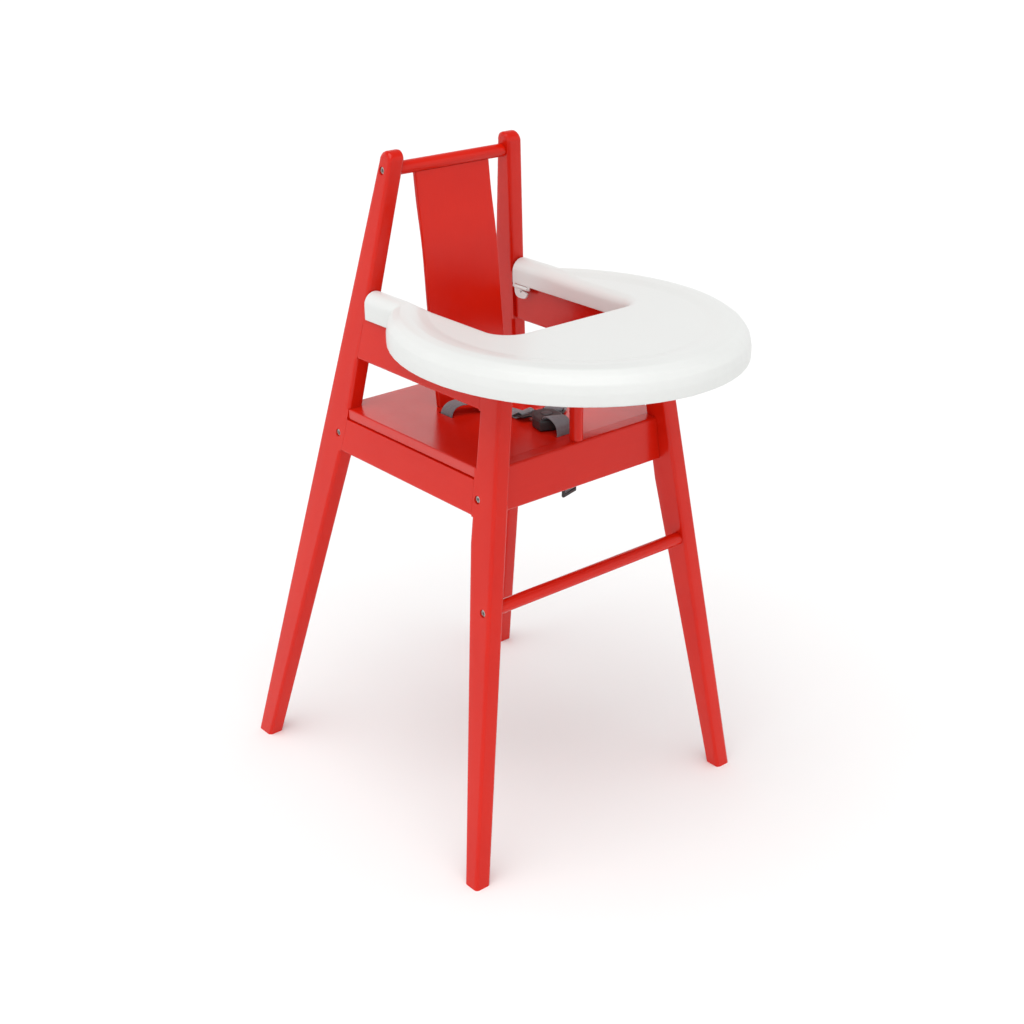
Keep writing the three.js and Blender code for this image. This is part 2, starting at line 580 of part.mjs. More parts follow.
// Latch tab, drawn in the side view about its pin: a knuckle with a tongue below and a round end.
function latchTab(side) {
  const middleY = LATCH.rearY - LATCH.width / 2;
  const halfWidth = LATCH.width / 2;
  const corner = 9;
  const shape = new THREE.Shape();
  shape.moveTo(middleY - halfWidth, LATCH.z);
  shape.absarc(middleY - halfWidth + corner, LATCH.bottom + corner, corner, Math.PI, 1.5 * Math.PI, false);
  shape.absarc(middleY + halfWidth - corner, LATCH.bottom + corner, corner, 1.5 * Math.PI, 2 * Math.PI, false);
  shape.lineTo(middleY + halfWidth, LATCH.z);
  const plate = sideView(extrude(shape, LATCH.thickness, 0, 1, 6)).translate(side * LATCH.x, 0, 0);
  const knuckle = rod(LATCH.knuckle, LATCH.width, 'y', 14).translate(side * LATCH.x, middleY, LATCH.z);
  const pinBore = rod(PIN_BORE, LATCH.width + 4, 'y', 12).translate(side * LATCH.x, middleY, LATCH.z);
  const notch = sideView(extrude(polygon([[-2.6, -4.6], [2.6, -4.6], [0, -9]]), 20))
    .translate(side * LATCH.x, middleY, LATCH.z);
  return toSolid(plate).add(toSolid(knuckle)).subtract(toSolid(pinBore)).subtract(toSolid(notch));
}

add('tray_shell', trayShell(), 'tray');
for (const [name, side] of SIDES) {
  add(`tray_latch_${name}`, latchTab(side), 'tray');
  const pin = rod(PIN_RADIUS, LATCH.width + 2 * EAR.length - 1, 'y', 12);
  add(`tray_latch_pin_${name}`, pin, 'steel')
    .position.set(side * LATCH.x, LATCH.rearY - LATCH.width / 2, LATCH.z);
}

// ---- Harness -------------------------------------------------------------------------------------

// A flat strap bent along a route of [x, y, z, heading]: heading is the way it runs, in degrees from +X.
function webbing(route, steps, thickness = WEBBING_THICKNESS) {
  const path = new THREE.CatmullRomCurve3(route.map(([x, y, z]) => new THREE.Vector3(x, y, z)), false, 'centripetal');
  const headings = new THREE.CatmullRomCurve3(route.map(([, , , heading]) => new THREE.Vector3(heading, 0, 0)));
  const geometry = new THREE.BoxGeometry(1, 1, 1, steps, 1, 1);
  const position = geometry.attributes.position;
  for (let i = 0; i < position.count; i += 1) {
    const t = position.getX(i) + 0.5;
    const heading = THREE.MathUtils.degToRad(headings.getPoint(t).x);
    const across = new THREE.Vector3(-Math.sin(heading), Math.cos(heading), 0);
    const normal = path.getTangent(t).cross(across).normalize();
    const point = path.getPoint(t)
      .addScaledVector(across, position.getY(i) * WEBBING_WIDTH)
      .addScaledVector(normal, position.getZ(i) * thickness);
    position.setXYZ(i, point.x, point.y, point.z);
  }
  return toSolid(geometry);
}

const tongueHeading = (side) => 90 + BUCKLE.yaw - side * BUCKLE.tongueAngle;
const tongueDirection = (side) => {
  const heading = THREE.MathUtils.degToRad(tongueHeading(side));
  return new THREE.Vector3(Math.cos(heading), Math.sin(heading), 0);
};

const buckleGroup = new THREE.Group();
buckleGroup.position.set(BUCKLE.x, BUCKLE.y, 0);
buckleGroup.rotation.z = THREE.MathUtils.degToRad(BUCKLE.yaw);
chair.add(buckleGroup);

// The housing in its own frame: tongues enter from the rear corners, the crotch strap from the front.
function buckleHousing() {
  const { halfWidth, rear, front, frontHalfWidth, bottom, top, tongueZ } = BUCKLE;
  const shape = polygon([
    [-frontHalfWidth, -front], [frontHalfWidth, -front], [halfWidth, -4], [halfWidth - 6, rear - 4],
    [5, rear], [-5, rear], [-halfWidth + 6, rear - 4], [-halfWidth, -4],
  ]);
  let housing = toSolid(extrude(shape, top - bottom, 2.5, 2).translate(0, 0, (top + bottom) / 2));
  for (const [, side] of SIDES) {
    const angle = -side * THREE.MathUtils.degToRad(BUCKLE.tongueAngle);
    const mouth = box(-TONGUE.blade / 2 - 0.5, TONGUE.blade / 2 + 0.5, TONGUE.tip - 1, 50,
      tongueZ - TONGUE.thickness / 2 - 0.4, tongueZ + TONGUE.thickness / 2 + 0.4).rotateZ(angle);
    housing = housing.subtract(toSolid(mouth));
  }
  const strapSlot = box(-WEBBING_WIDTH / 2 - 1, WEBBING_WIDTH / 2 + 1, -front + 4, -front + 8, bottom - 5, top + 5);
  const buttonWell = rod(BUTTON.radius + 0.4, 20, 'z', 20).translate(0, 0, BUTTON.bottom - 2.8 + 10);
  return housing.subtract(toSolid(strapSlot)).subtract(toSolid(buttonWell));
}

function buckleButton() {
  const { radius, bottom, top } = BUTTON;
  const profile = [[0, bottom], [radius, bottom], [radius, top - 1.2], [radius - 1, top - 0.2], [0, top]];
  return new THREE.LatheGeometry(profile.map(([r, z]) => new THREE.Vector2(r, z)), 20).rotateX(Math.PI / 2);
}

// Tongue pointing along +Y of its own frame: a blade, a shoulder and a loop for the webbing.
function buckleTongue() {
  const half = TONGUE.blade / 2;
  const loopHalf = TONGUE.loopWidth / 2;
  const shape = polygon([
    [-half, TONGUE.tip], [half, TONGUE.tip], [half, TONGUE.shoulder], [loopHalf, TONGUE.shoulder + 4],
    [loopHalf, TONGUE.loop], [-loopHalf, TONGUE.loop], [-loopHalf, TONGUE.shoulder + 4], [-half, TONGUE.shoulder],
  ]);
  const slotHalf = WEBBING_WIDTH / 2 + 0.8;
  shape.holes.push(polygon([
    [-slotHalf, TONGUE.loop - 9], [slotHalf, TONGUE.loop - 9], [slotHalf, TONGUE.loop - 3.5], [-slotHalf, TONGUE.loop - 3.5],
  ]));
  return extrude(shape, TONGUE.thickness, 0.6, 1);
}

add('buckle_housing', buckleHousing(), 'buckle', buckleGroup);
add('buckle_button', buckleButton(), 'buckle', buckleGroup);
for (const [name, side] of SIDES) {
  const tongue = add(`buckle_tongue_${name}`, buckleTongue(), 'buckle', buckleGroup);
  tongue.position.z = BUCKLE.tongueZ;
  tongue.rotation.z = -side * THREE.MathUtils.degToRad(BUCKLE.tongueAngle);
}

// Lap straps: up through a slot, over in an arch, and along the seat towards the buckle.
const seatZ = SEAT_TOP + 1.3;
const { x: slotX, y: slotY } = LAP_SLOT;
const LAP_ROUTES = {
  right: [
    [-slotX, slotY, 474, 0], [-slotX, slotY, 520, 0], [-slotX, slotY, 550, 0], [-71.2, -8.4, 561, -2],
    [-64, -10, 570, -8], [-51, -14, 573, -14], [-39, -18, 570.5, -18], [-27, -23, 564.5, -26],
    [-17, -29, seatZ + 1, -40], [-7, -39, seatZ, -58], [-1, -52, seatZ, -78], [1.5, -66, seatZ, -86],
  ],
  left: [
    [slotX, slotY, 474, 180], [slotX, slotY, 520, 180], [slotX, slotY, 550, 180], [71.6, -8.6, 562, 182],
    [71, -15, 570.5, 212], [69.5, -27, 575, 240], [68.5, -41, 573, 254], [67.5, -54, 567, 254],
    [66.3, -65, 561.3, 250], [64, -75, seatZ, 243], [59.5, -84, seatZ, 233], [53, -92, seatZ, 224],
  ],
};
const CROTCH_ROUTE = [
  [CROTCH_TAIL.x, CROTCH_SLOT_Y, 474, 90 + CROTCH_TAIL.turn],
  [CROTCH_TAIL.x, CROTCH_SLOT_Y, 496, 90 + CROTCH_TAIL.turn], [6, CROTCH_SLOT_Y, 516, 99],
  [1.2, CROTCH_SLOT_Y, 538, 91], [0, CROTCH_SLOT_Y, 550, 90], [0, -168.4, 562, 90],
  [-0.3, -167, 571, 86], [-0.8, -161, 577, 78], [-1.4, -153.5, 579.4, 70],
  [-2, -147.6, 578.4, 66], [-2.1, -144.8, 573, 66], [-2.1, -144.3, 563, 66],
];

// Reach from the tongue's outer end, and height: up through the loop and over its bar.
const LAP_END_ROUTE = [[-6.3, 564.2], [-6.1, 567], [-4, 569.6], [0, 569.8], [6, 567], [14, 564.2], [24, 563.6]];

for (const [name, side] of SIDES) {
  add(`lap_strap_${name}`, webbing(LAP_ROUTES[name], 40), 'webbing');
  // The webbing's doubled end, which the tongue carries: it rides above the lying part of the strap.
  const direction = tongueDirection(side);
  const centre = new THREE.Vector3(BUCKLE.x, BUCKLE.y, 0);
  const endRoute = LAP_END_ROUTE.map(([reach, z]) => {
    const point = centre.clone().addScaledVector(direction, TONGUE.loop + reach);
    return [point.x, point.y, z, tongueHeading(side)];
  });
  add(`lap_strap_end_${name}`, webbing(endRoute, 14, 2 * WEBBING_THICKNESS), 'webbing');
}
add('crotch_strap', webbing(CROTCH_ROUTE, 36), 'webbing');

// Plastic stops on the webbing's tails under the seat, which keep it from pulling up through its slot.
function strapSlider() {
  const { width, height, thickness } = SLIDER;
  const body = toSolid(extrude(polygon([
    [-width / 2, -height / 2], [width / 2, -height / 2], [width / 2, height / 2], [-width / 2, height / 2],
  ]), thickness, 1.2, 2));
  const pass = box(-WEBBING_WIDTH / 2 - 0.6, WEBBING_WIDTH / 2 + 0.6, -30, 30,
    -WEBBING_THICKNESS / 2 - 0.4, WEBBING_THICKNESS / 2 + 0.4);
  const windows = [-1, 1].map((row) => box(-WEBBING_WIDTH / 2, WEBBING_WIDTH / 2, row * 5 - 2, row * 5 + 2, 0, 10));
  return windows.reduce((solid, window) => solid.subtract(toSolid(window)), body.subtract(toSolid(pass)));
}

const sliderZ = STRAP_TAIL_Z + SLIDER.height / 2;
const crotchSlider = add('strap_slider_crotch', toGeometry(strapSlider()).rotateX(Math.PI / 2), 'buckle');
crotchSlider.position.set(CROTCH_TAIL.x, CROTCH_SLOT_Y, sliderZ);
crotchSlider.rotation.z = THREE.MathUtils.degToRad(CROTCH_TAIL.turn);
for (const [name, side] of SIDES) {
  const slider = add(`strap_slider_${name}`, toGeometry(strapSlider()).rotateX(Math.PI / 2), 'buckle');
  slider.position.set(side * LAP_SLOT.x, LAP_SLOT.y, sliderZ);
  slider.rotation.z = Math.PI / 2;
}

// The origin is on the floor, under the middle of the whole object's box.
chair.position.y = (FOOT_HALF_DEPTH - (TRAY.middleY - TRAY.frontReach)) / 2 - FOOT_HALF_DEPTH;

const highChair = new THREE.Group();
highChair.add(chair);

export default highChair;
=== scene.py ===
"""Child's high chair: red lacquered wood, a white moulded tray and a grey webbing harness.

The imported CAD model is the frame. Wooden boards keep their CAD shape. Moulded plastic pieces are
rounded from their CAD solids, and bolts and webbing are modelled here. Metres, +Z up, facing -Y.
"""
import json
import math

import bmesh
import bpy
import numpy as np
from mathutils import Matrix, Vector

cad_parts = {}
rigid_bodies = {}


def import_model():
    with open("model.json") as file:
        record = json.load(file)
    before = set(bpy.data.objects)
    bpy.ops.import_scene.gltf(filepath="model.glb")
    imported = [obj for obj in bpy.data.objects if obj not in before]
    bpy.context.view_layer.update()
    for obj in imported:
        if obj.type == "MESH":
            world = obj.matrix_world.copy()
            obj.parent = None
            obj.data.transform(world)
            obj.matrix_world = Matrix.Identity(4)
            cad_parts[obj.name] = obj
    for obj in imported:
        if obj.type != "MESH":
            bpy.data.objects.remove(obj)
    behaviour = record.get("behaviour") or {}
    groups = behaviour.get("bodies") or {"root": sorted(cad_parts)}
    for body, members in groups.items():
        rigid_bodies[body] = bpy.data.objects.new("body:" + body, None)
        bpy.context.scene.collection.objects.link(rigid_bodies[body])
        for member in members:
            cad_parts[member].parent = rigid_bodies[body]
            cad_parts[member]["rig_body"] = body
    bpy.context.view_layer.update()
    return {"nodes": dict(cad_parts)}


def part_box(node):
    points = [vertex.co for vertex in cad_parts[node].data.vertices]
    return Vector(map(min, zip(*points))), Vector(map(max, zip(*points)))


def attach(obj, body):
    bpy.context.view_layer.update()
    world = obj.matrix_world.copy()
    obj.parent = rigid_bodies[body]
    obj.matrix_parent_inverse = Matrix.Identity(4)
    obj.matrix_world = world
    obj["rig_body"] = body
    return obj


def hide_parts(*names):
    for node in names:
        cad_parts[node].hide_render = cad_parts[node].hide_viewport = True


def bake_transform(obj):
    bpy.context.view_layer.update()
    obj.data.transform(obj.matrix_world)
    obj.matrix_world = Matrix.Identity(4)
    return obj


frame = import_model()

MM = 0.001
SIDES = (("right", -1), ("left", 1))

# ---- Camera, lights and room ---------------------------------------------------------------------------

CAMERA_PLACE = (-1.3145, -1.5784, 1.3303)
CAMERA_YAW = math.radians(39.5475)       # turned from +Y towards +X
CAMERA_PITCH = math.radians(24.0424)     # below the horizon
CAMERA_ROLL = math.radians(-0.5132)
CAMERA_LENS = 56.68                      # on a 36 mm wide sensor

KEY_TOWARDS = (-0.28, -0.22, 0.93)       # from the chair to the light
KEY_STRENGTH = 2.1
KEY_SPREAD = 65                          # degrees
WALL_LIGHT = 1.02
CEILING_LIGHT = 0.36
FLOOR_GLOW = 0.02
FLOOR_HALF_SIZE = 40


def add_camera():
    yaw, pitch, roll = CAMERA_YAW, CAMERA_PITCH, CAMERA_ROLL
    forward = Vector((math.sin(yaw) * math.cos(pitch), math.cos(yaw) * math.cos(pitch), -math.sin(pitch)))
    level = Vector((math.cos(yaw), -math.sin(yaw), 0))
    upright = level.cross(forward)
    right = math.cos(roll) * level + math.sin(roll) * upright
    up = -math.sin(roll) * level + math.cos(roll) * upright
    camera = bpy.data.objects.new("camera", bpy.data.cameras.new("camera"))
    camera.data.lens = CAMERA_LENS
    camera.data.sensor_width = 36
    turn = Matrix((right, up, -forward)).transposed()
    camera.matrix_world = Matrix.Translation(CAMERA_PLACE) @ turn.to_4x4()
    bpy.context.scene.collection.objects.link(camera)
    bpy.context.scene.camera = camera


def add_distant_softbox(name, towards, strength, spread):
    """A softbox so far away that it lights the whole floor evenly; spread is how wide it looks."""
    light = bpy.data.objects.new(name, bpy.data.lights.new(name, "SUN"))
    light.data.energy = strength
    light.data.angle = math.radians(spread)
    light.rotation_euler = Vector(towards).to_track_quat("Z", "Y").to_euler()
    bpy.context.scene.collection.objects.link(light)


def add_studio(wall, ceiling):
    """A round room: its bright wall fades into a dimmer ceiling."""
    world = bpy.data.worlds.new("studio")
    world.use_nodes = True
    tree = world.node_tree
    heading = tree.nodes.new("ShaderNodeTexCoord")
    parts = tree.nodes.new("ShaderNodeSeparateXYZ")
    fade = tree.nodes.new("ShaderNodeMapRange")
    for name, value in (("From Min", 0.42), ("From Max", 0.62), ("To Min", wall), ("To Max", ceiling)):
        fade.inputs[name].default_value = value
    background = tree.nodes["Background"]
    background.inputs["Color"].default_value = (1, 1, 1, 1)
    tree.links.new(heading.outputs["Generated"], parts.inputs["Vector"])
    tree.links.new(parts.outputs["Z"], fade.inputs["Value"])
    tree.links.new(fade.outputs["Result"], background.inputs["Strength"])
    bpy.context.scene.world = world


# ---- Shader helpers -----------------------------------------------------------------------------

class Shader:
    """A new material with short ways to add nodes and link them."""

    def __init__(self, name):
        self.material = bpy.data.materials.new(name)
        self.material.use_nodes = True
        self.tree = self.material.node_tree
        self.surface = self.tree.nodes["Principled BSDF"]

    def add(self, kind, inputs=None, **settings):
        node = self.tree.nodes.new(kind)
        for key, value in settings.items():
            setattr(node, key, value)
        for key, value in (inputs or {}).items():
            self.feed(node.inputs[key], value)
        return node

    def feed(self, socket, value):
        if isinstance(value, bpy.types.NodeSocket):
            self.tree.links.new(value, socket)
        else:
            socket.default_value = value

    def set(self, **values):
        for key, value in values.items():
            self.feed(self.surface.inputs[key.replace("_", " ")], value)

    def math(self, operation, a, b=0.0, c=0.0):
        node = self.add("ShaderNodeMath", operation=operation)
        for socket, value in zip(node.inputs, (a, b, c)):
            self.feed(socket, value)
        return node.outputs[0]

    def object_coordinates(self, scale=(1, 1, 1)):
        place = self.add("ShaderNodeTexCoord").outputs["Object"]
        return self.add("ShaderNodeMapping", {"Vector": place, "Scale": scale}).outputs[0]

    def noise(self, vector, scale, detail=2.0, roughness=0.5, distortion=0.0):
        node = self.add("ShaderNodeTexNoise", {
            "Vector": vector, "Scale": scale, "Detail": detail,
            "Roughness": roughness, "Distortion": distortion,
        })
        return node.outputs[0]

    def ramp(self, value, low, high, to_low=0.0, to_high=1.0):
        node = self.add("ShaderNodeMapRange", {
            "Value": value, "From Min": low, "From Max": high, "To Min": to_low, "To Max": to_high,
        })
        return node.outputs[0]

    def mix(self, factor, first, second):
        node = self.add("ShaderNodeMix", data_type="RGBA")
        self.feed(node.inputs[0], factor)
        self.feed(node.inputs[6], first)
        self.feed(node.inputs[7], second)
        return node.outputs[2]

    def bump(self, height, distance, below=None):
        inputs = {"Height": height, "Distance": distance, "Strength": 1.0}
        if below is not None:
            inputs["Normal"] = below
        return self.add("ShaderNodeBump", inputs).outputs[0]


def lacquer(name, grain_axis, gloss=0.28):
    """Glossy red lacquer. The wood's grain telegraphs faintly through it, along grain_axis."""
    shader = Shader(name)
    stretch = [1.0, 1.0, 1.0]
    stretch[grain_axis] = 0.05
    grain = shader.noise(shader.object_coordinates(stretch), 420, 3, 0.6, 0.4)
    place = shader.object_coordinates()
    cloud = shader.noise(place, 7, 3, 0.55)
    fleck = shader.noise(place, 60, 4, 0.6)
    peel = shader.noise(place, 260, 2)
    base = shader.mix(shader.ramp(cloud, 0.3, 0.7), (0.60, 0.009, 0.002, 1), (0.65, 0.013, 0.003, 1))
    tint = shader.mix(shader.ramp(grain, 0.35, 0.75, 0, 0.10), base, (0.46, 0.006, 0.001, 1))
    shader.set(Base_Color=tint)
    shader.set(Roughness=shader.ramp(fleck, 0.3, 0.7, 0.17, 0.27))
    rough = shader.bump(grain, 0.00003)
    shader.set(Normal=shader.bump(peel, 0.00004, rough), Specular_IOR_Level=gloss)
    return shader.material


def tray_plastic():
    shader = Shader("tray_plastic")
    place = shader.object_coordinates()
    cloud = shader.noise(place, 6, 2)
    grain = shader.noise(place, 1500, 2)
    scuff = shader.noise(shader.object_coordinates((1, 0.12, 1)), 160, 3, 0.7, 0.8)
    scuffed = shader.ramp(scuff, 0.66, 0.74)
    base = shader.mix(shader.ramp(cloud, 0.3, 0.7), (0.705, 0.715, 0.70, 1), (0.73, 0.74, 0.725, 1))
    shader.set(Base_Color=shader.mix(shader.math("MULTIPLY", scuffed, 0.25), base, (0.64, 0.64, 0.61, 1)))
    shader.set(Roughness=shader.math("MULTIPLY_ADD", scuffed, 0.12, shader.ramp(cloud, 0.3, 0.7, 0.30, 0.38)))
    shader.set(Normal=shader.bump(grain, 0.00002), Specular_IOR_Level=0.45)
    return shader.material


def plated_steel():
    shader = Shader("plated_steel")
    place = shader.object_coordinates()
    blotch = shader.noise(place, 350, 4, 0.65)
    brushed = shader.noise(shader.object_coordinates((1, 1, 0.1)), 3000, 2)
    shader.set(Base_Color=shader.mix(blotch, (0.36, 0.355, 0.34, 1), (0.62, 0.61, 0.59, 1)))
    shader.set(Metallic=1.0, Roughness=shader.ramp(blotch, 0.3, 0.7, 0.26, 0.46))
    shader.set(Normal=shader.bump(brushed, 0.00002))
    return shader.material


def dark_plastic(name, colour, lift):
    shader = Shader(name)
    place = shader.object_coordinates()
    cloud = shader.noise(place, 90, 3)
    grain = shader.noise(place, 2600, 2)
    shader.set(Base_Color=shader.mix(cloud, (*colour, 1), (*(c * lift for c in colour), 1)))
    shader.set(Roughness=shader.ramp(cloud, 0.3, 0.7, 0.34, 0.5))
    shader.set(Normal=shader.bump(grain, 0.00003))
    return shader.material


def woven(name, dark, light):
    """Herringbone webbing. Its UV map holds metres along and across the strap."""
    shader = Shader(name)
    place = shader.add("ShaderNodeUVMap", uv_map="strap").outputs[0]
    parts = shader.add("ShaderNodeSeparateXYZ", {"Vector": place})
    along, across = parts.outputs[0], parts.outputs[1]
    zigzag = shader.math("PINGPONG", shader.math("ADD", across, 0.1), 0.0031)
    phase = shader.math("MULTIPLY", shader.math("ADD", along, zigzag), math.tau / 0.0015)
    rib = shader.ramp(shader.math("SINE", phase), -1, 1)
    yarn = shader.ramp(shader.math("SINE", shader.math("MULTIPLY", across, math.tau / 0.0008)), -1, 1)
    fuzz = shader.noise(shader.object_coordinates(), 1800, 3, 0.7)
    wear = shader.noise(shader.object_coordinates(), 45, 3)
    cover = shader.math("MULTIPLY", rib, shader.ramp(fuzz, 0.25, 0.75, 0.7, 1.1))
    worn = shader.math("MULTIPLY", cover, shader.ramp(wear, 0.3, 0.7, 0.75, 1.15))
    shader.set(Base_Color=shader.mix(worn, dark, light))
    height = shader.math("MULTIPLY_ADD", yarn, 0.35, rib)
    shader.set(Normal=shader.bump(fuzz, 0.00008, shader.bump(height, 0.00022)))
    shader.set(Roughness=shader.ramp(fuzz, 0.3, 0.7, 0.72, 0.92), Sheen_Weight=0.35,
               Sheen_Roughness=0.5, Specular_IOR_Level=0.25)
    return shader.material


def floor_finish():
    """Plain pale floor with a faint glow, so that its far edge stays as bright as the wall."""
    shader = Shader("floor_finish")
    place = shader.object_coordinates()
    cloud = shader.noise(place, 3, 3)
    shader.set(Base_Color=shader.mix(cloud, (0.89, 0.89, 0.885, 1), (0.905, 0.905, 0.905, 1)))
    shader.set(Roughness=shader.ramp(shader.noise(place, 120, 2), 0.3, 0.7, 0.75, 0.9))
    shader.set(Emission_Color=(1, 1, 1, 1), Emission_Strength=FLOOR_GLOW)
    return shader.material


LACQUER = [lacquer(f"red_lacquer_{axis}", index) for index, axis in enumerate("xyz")]
SEAT_LACQUER = lacquer("red_lacquer_seat", 1, 0.62)     # reflects more than the other boards
TRAY_PLASTIC = tray_plastic()
STEEL = plated_steel()
BLACK_PLASTIC = dark_plastic("black_plastic", (0.012, 0.012, 0.013), 2.2)
BUTTON_PLASTIC = dark_plastic("button_plastic", (0.035, 0.035, 0.038), 1.8)
WEBBING = woven("grey_webbing", (0.07, 0.073, 0.08, 1), (0.36, 0.375, 0.41, 1))

# ---- Mesh helpers -------------------------------------------------------------------------------


def link_mesh(name, mesh, material):
    piece = bpy.data.objects.new(name, mesh)
    piece.data.materials.clear()
    piece.data.materials.append(material)
    bpy.context.scene.collection.objects.link(piece)
    return piece


def mesh_from(vertices, faces, name):
    mesh = bpy.data.meshes.new(name)
    mesh.from_pydata([tuple(v) for v in vertices], [], faces)
    mesh.validate()
    return mesh


def apply_modifiers(piece):
    bpy.context.view_layer.update()
    evaluated = piece.evaluated_get(bpy.context.evaluated_depsgraph_get())
    mesh = bpy.data.meshes.new_from_object(evaluated)
    piece.modifiers.clear()
    piece.data = mesh


def shade_by_angle():
    """Node group that welds a mesh and shades it smooth except at edges sharper than 32 degrees."""
    group = bpy.data.node_groups.new("shade_by_angle", "GeometryNodeTree")
    for in_out in ("INPUT", "OUTPUT"):
        group.interface.new_socket("Geometry", in_out=in_out, socket_type="NodeSocketGeometry")
    nodes, links = group.nodes, group.links
    weld = nodes.new("GeometryNodeMergeByDistance")
    weld.inputs["Distance"].default_value = 2e-6
    bare = nodes.new("GeometryNodeRemoveAttribute")
    bare.inputs["Name"].default_value = "custom_normal"
    soft = nodes.new("GeometryNodeSetShadeSmooth")
    soft.domain = "FACE"
    angle = nodes.new("GeometryNodeInputMeshEdgeAngle")
    sharp = nodes.new("FunctionNodeCompare")
    sharp.operation = "GREATER_THAN"
    sharp.inputs[1].default_value = math.radians(32)
    crisp = nodes.new("GeometryNodeSetShadeSmooth")
    crisp.domain = "EDGE"
    crisp.inputs["Shade Smooth"].default_value = False
    links.new(angle.outputs[0], sharp.inputs[0])
    links.new(sharp.outputs[0], crisp.inputs["Selection"])
    chain = (nodes.new("NodeGroupInput"), weld, bare, soft, crisp, nodes.new("NodeGroupOutput"))
    for a, b in zip(chain, chain[1:]):
        links.new(a.outputs[0], b.inputs[0])
    return group


SHADE_BY_ANGLE = shade_by_angle()


def finish_cad(name, material):
    """Gives a CAD node its material and even, weighted shading. Its shape stays."""
    node = frame["nodes"][name]
    node.data.materials.clear()
    node.data.materials.append(material)
    node.modifiers.new("shade", "NODES").node_group = SHADE_BY_ANGLE
    weighted = node.modifiers.new("weighted", "WEIGHTED_NORMAL")
    weighted.keep_sharp = True
    return node


def moulded(name, node_name, material, voxel, passes, faces):
    """A CAD solid with the soft edges of an injection moulding, in the CAD node's place."""
    node = frame["nodes"][node_name]
    piece = link_mesh(name, node.data.copy(), material)
    weld = piece.modifiers.new("weld", "WELD")
    weld.merge_threshold = 2e-6
    remesh = piece.modifiers.new("remesh", "REMESH")
    remesh.mode = "VOXEL"
    remesh.voxel_size = voxel
    smooth = piece.modifiers.new("smooth", "SMOOTH")
    smooth.factor = 0.5
    smooth.iterations = passes
    apply_modifiers(piece)
    count = len(piece.data.polygons) * 2
    if count > faces:
        decimate = piece.modifiers.new("decimate", "DECIMATE")
        decimate.ratio = faces / count
        apply_modifiers(piece)
    piece.data.polygons.foreach_set("use_smooth", [True] * len(piece.data.polygons))
    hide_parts(node_name)
    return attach(piece, node["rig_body"])


# ---- Wood ---------------------------------------------------------------------------------------

X, Y, Z = 0, 1, 2
GRAIN = {
    "rear_leg_right": Z, "rear_leg_left": Z, "front_leg_right": Z, "front_leg_left": Z,
    "arm_rail_right": Y, "arm_rail_left": Y, "side_apron_right": Y, "side_apron_left": Y,
    "front_apron": X, "rear_apron": X, "footrest_rail": X, "top_rail": X, "front_crossbar": X,
    "back_splat": Z, "crotch_post": Z,
}
for node_name, axis in GRAIN.items():
    finish_cad(node_name, LACQUER[axis])
finish_cad("seat_board", SEAT_LACQUER)

# ---- Fasteners ----------------------------------------------------------------------------------

HEX_KEY = 5 * MM
SOCKET_LIP = 0.25 * MM
BOLT = {
    "head": 4.8 * MM, "shank": 3 * MM, "head_height": 4 * MM, "socket": 2.6 * MM, "corner": 0.6 * MM,
}


def hex_radius(angle, across_flats):
    """Distance from the centre to the side of a hexagon, in the direction of the angle."""
    return across_flats / 2 / math.cos((angle + math.pi / 6) % (math.pi / 3) - math.pi / 6)


def bolt(node_name, side, segments=36):
    """Socket-head bolt in the place of its CAD node. Its head is at the outer end, towards the side."""
    low, high = (Vector(corner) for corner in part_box(node_name))
    middle = (low + high) / 2
    face_x = high.x if side > 0 else low.x
    head, corner = BOLT["head"], BOLT["corner"]
    rows = [
        (None, BOLT["socket"]), (None, SOCKET_LIP), (None, 0), (head - corner, 0),
        (head - 0.3 * corner, 0.3 * corner), (head, corner), (head, BOLT["head_height"]),
        (BOLT["shank"], BOLT["head_height"]), (BOLT["shank"], high.x - low.x),
    ]
    vertices = []
    for row, (radius, depth) in enumerate(rows):
        for k in range(segments):
            angle = math.tau * k / segments
            reach = radius or hex_radius(angle, HEX_KEY) + (SOCKET_LIP if row == 2 else 0)
            vertices.append((face_x - side * depth, middle.y + reach * math.cos(angle),
                             middle.z + reach * math.sin(angle)))
    faces = [list(range(segments)), list(range(len(vertices) - segments, len(vertices)))]
    for row in range(len(rows) - 1):
        for k in range(segments):
            n = (k + 1) % segments
            a, b = row * segments, (row + 1) * segments
            faces.append((a + k, a + n, b + n, b + k))
    mesh = mesh_from(vertices, faces, node_name)
    turned = bmesh.new()
    turned.from_mesh(mesh)
    bmesh.ops.recalc_face_normals(turned, faces=turned.faces)
    turned.to_mesh(mesh)
    turned.free()
    piece = link_mesh(f"head_{node_name}", mesh, STEEL)
    piece.modifiers.new("shade", "NODES").node_group = SHADE_BY_ANGLE
    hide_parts(node_name)
    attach(piece, frame["nodes"][node_name]["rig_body"])


for node_name in list(frame["nodes"]):
    if node_name.startswith("bolt_"):
        bolt(node_name, 1 if node_name.endswith("left") else -1)
    elif node_name.startswith(("barrel_nut_", "seat_screw_", "splat_screw_", "tray_latch_pin_")):
        finish_cad(node_name, STEEL)

# ---- Tray ---------------------------------------------------------------------------------------

moulded("tray_moulding", "tray_shell", TRAY_PLASTIC, 1.3 * MM, 8, 90000)
for side, _ in SIDES:
    moulded(f"tray_tab_{side}", f"tray_latch_{side}", TRAY_PLASTIC, 0.35 * MM, 4, 9000)

# ---- Harness ------------------------------------------------------------------------------------

